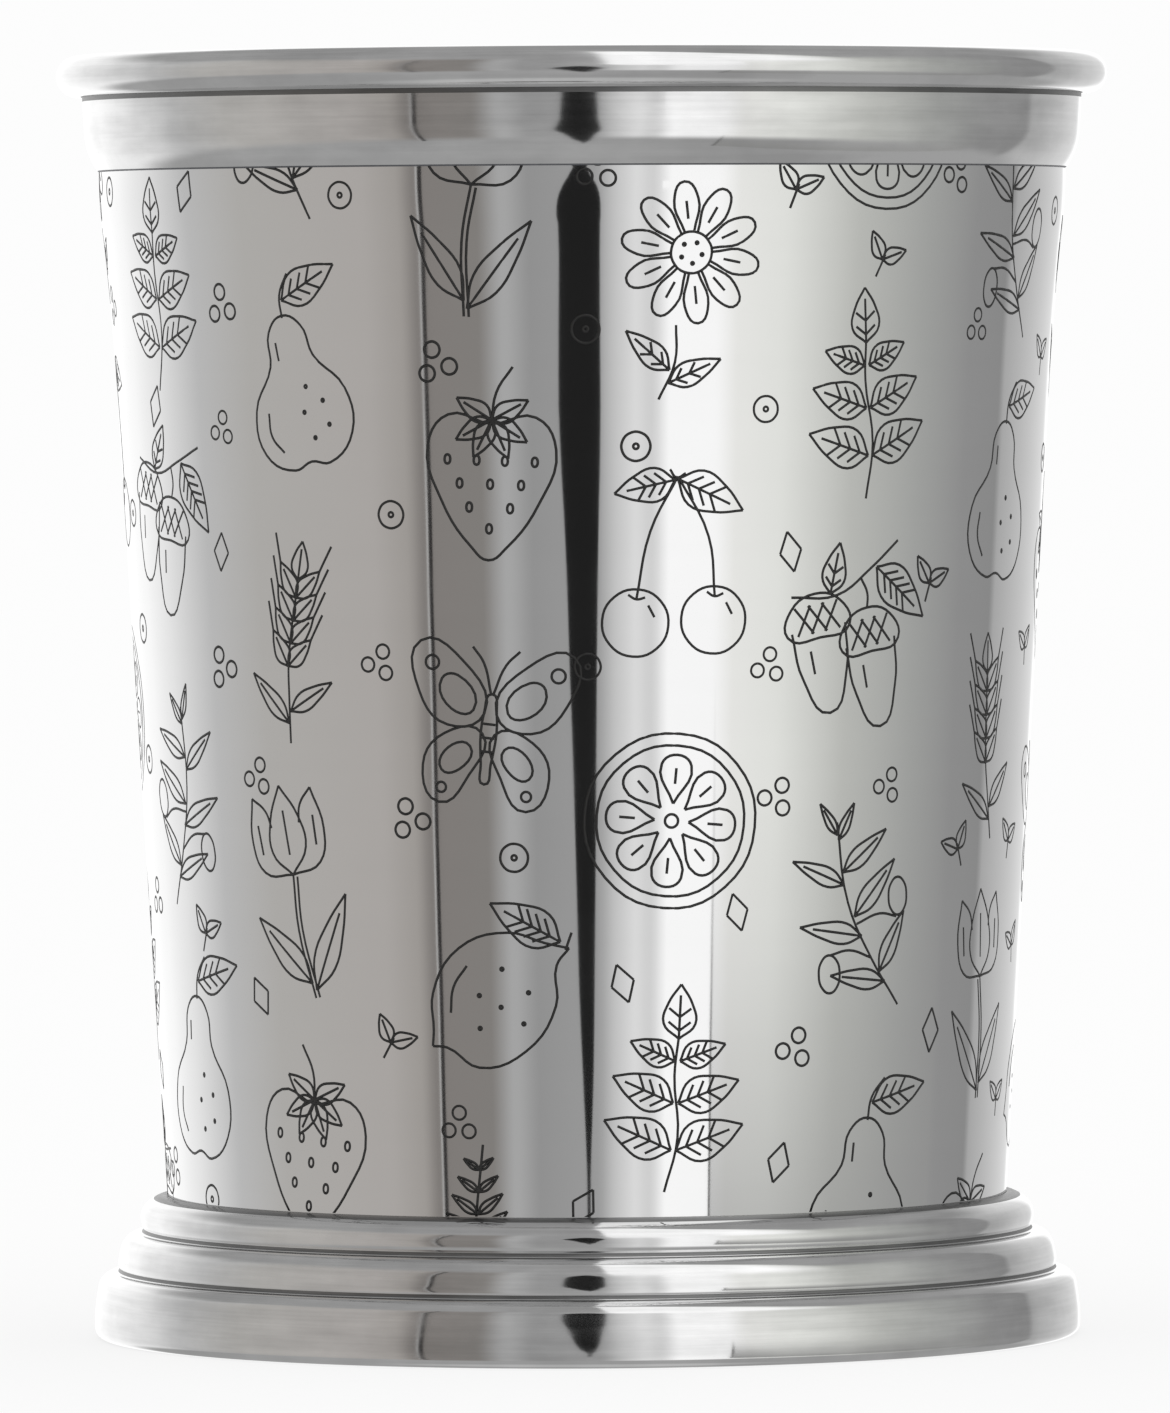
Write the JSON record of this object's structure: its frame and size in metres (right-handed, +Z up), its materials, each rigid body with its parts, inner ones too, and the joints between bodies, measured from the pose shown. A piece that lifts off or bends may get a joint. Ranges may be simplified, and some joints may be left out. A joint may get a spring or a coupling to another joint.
{
  "type": "julep cup",
  "caption": "Tapered stainless steel julep cup with a rolled rim, a collar band, a mirror-polished body marked with a fine line pattern, and a stepped foot.",
  "frame": {"origin": "centre of the standing face under the foot", "axes": "+Z up along the cup's axis; -Y faces the picture's camera"},
  "size_m": [0.0878, 0.0878, 0.1072],
  "materials": {
    "mirror_steel": "mirror-polished stainless steel",
    "buffed_steel": "stainless steel buffed on a lathe, with fine lines round the axis",
    "satin_steel": "satin stainless steel sheet",
    "solder": "dull grey solder fillet",
    "laser_mark": "matt black laser marking on steel"
  },
  "bodies": {
    "root": {"cup_body": "mirror_steel", "rim_collar": "buffed_steel", "collar_solder": "solder", "foot_ring": "buffed_steel", "foot_solder": "solder", "base_plate": "satin_steel", "plate_solder": "solder"}
  },
  "joints": []
}
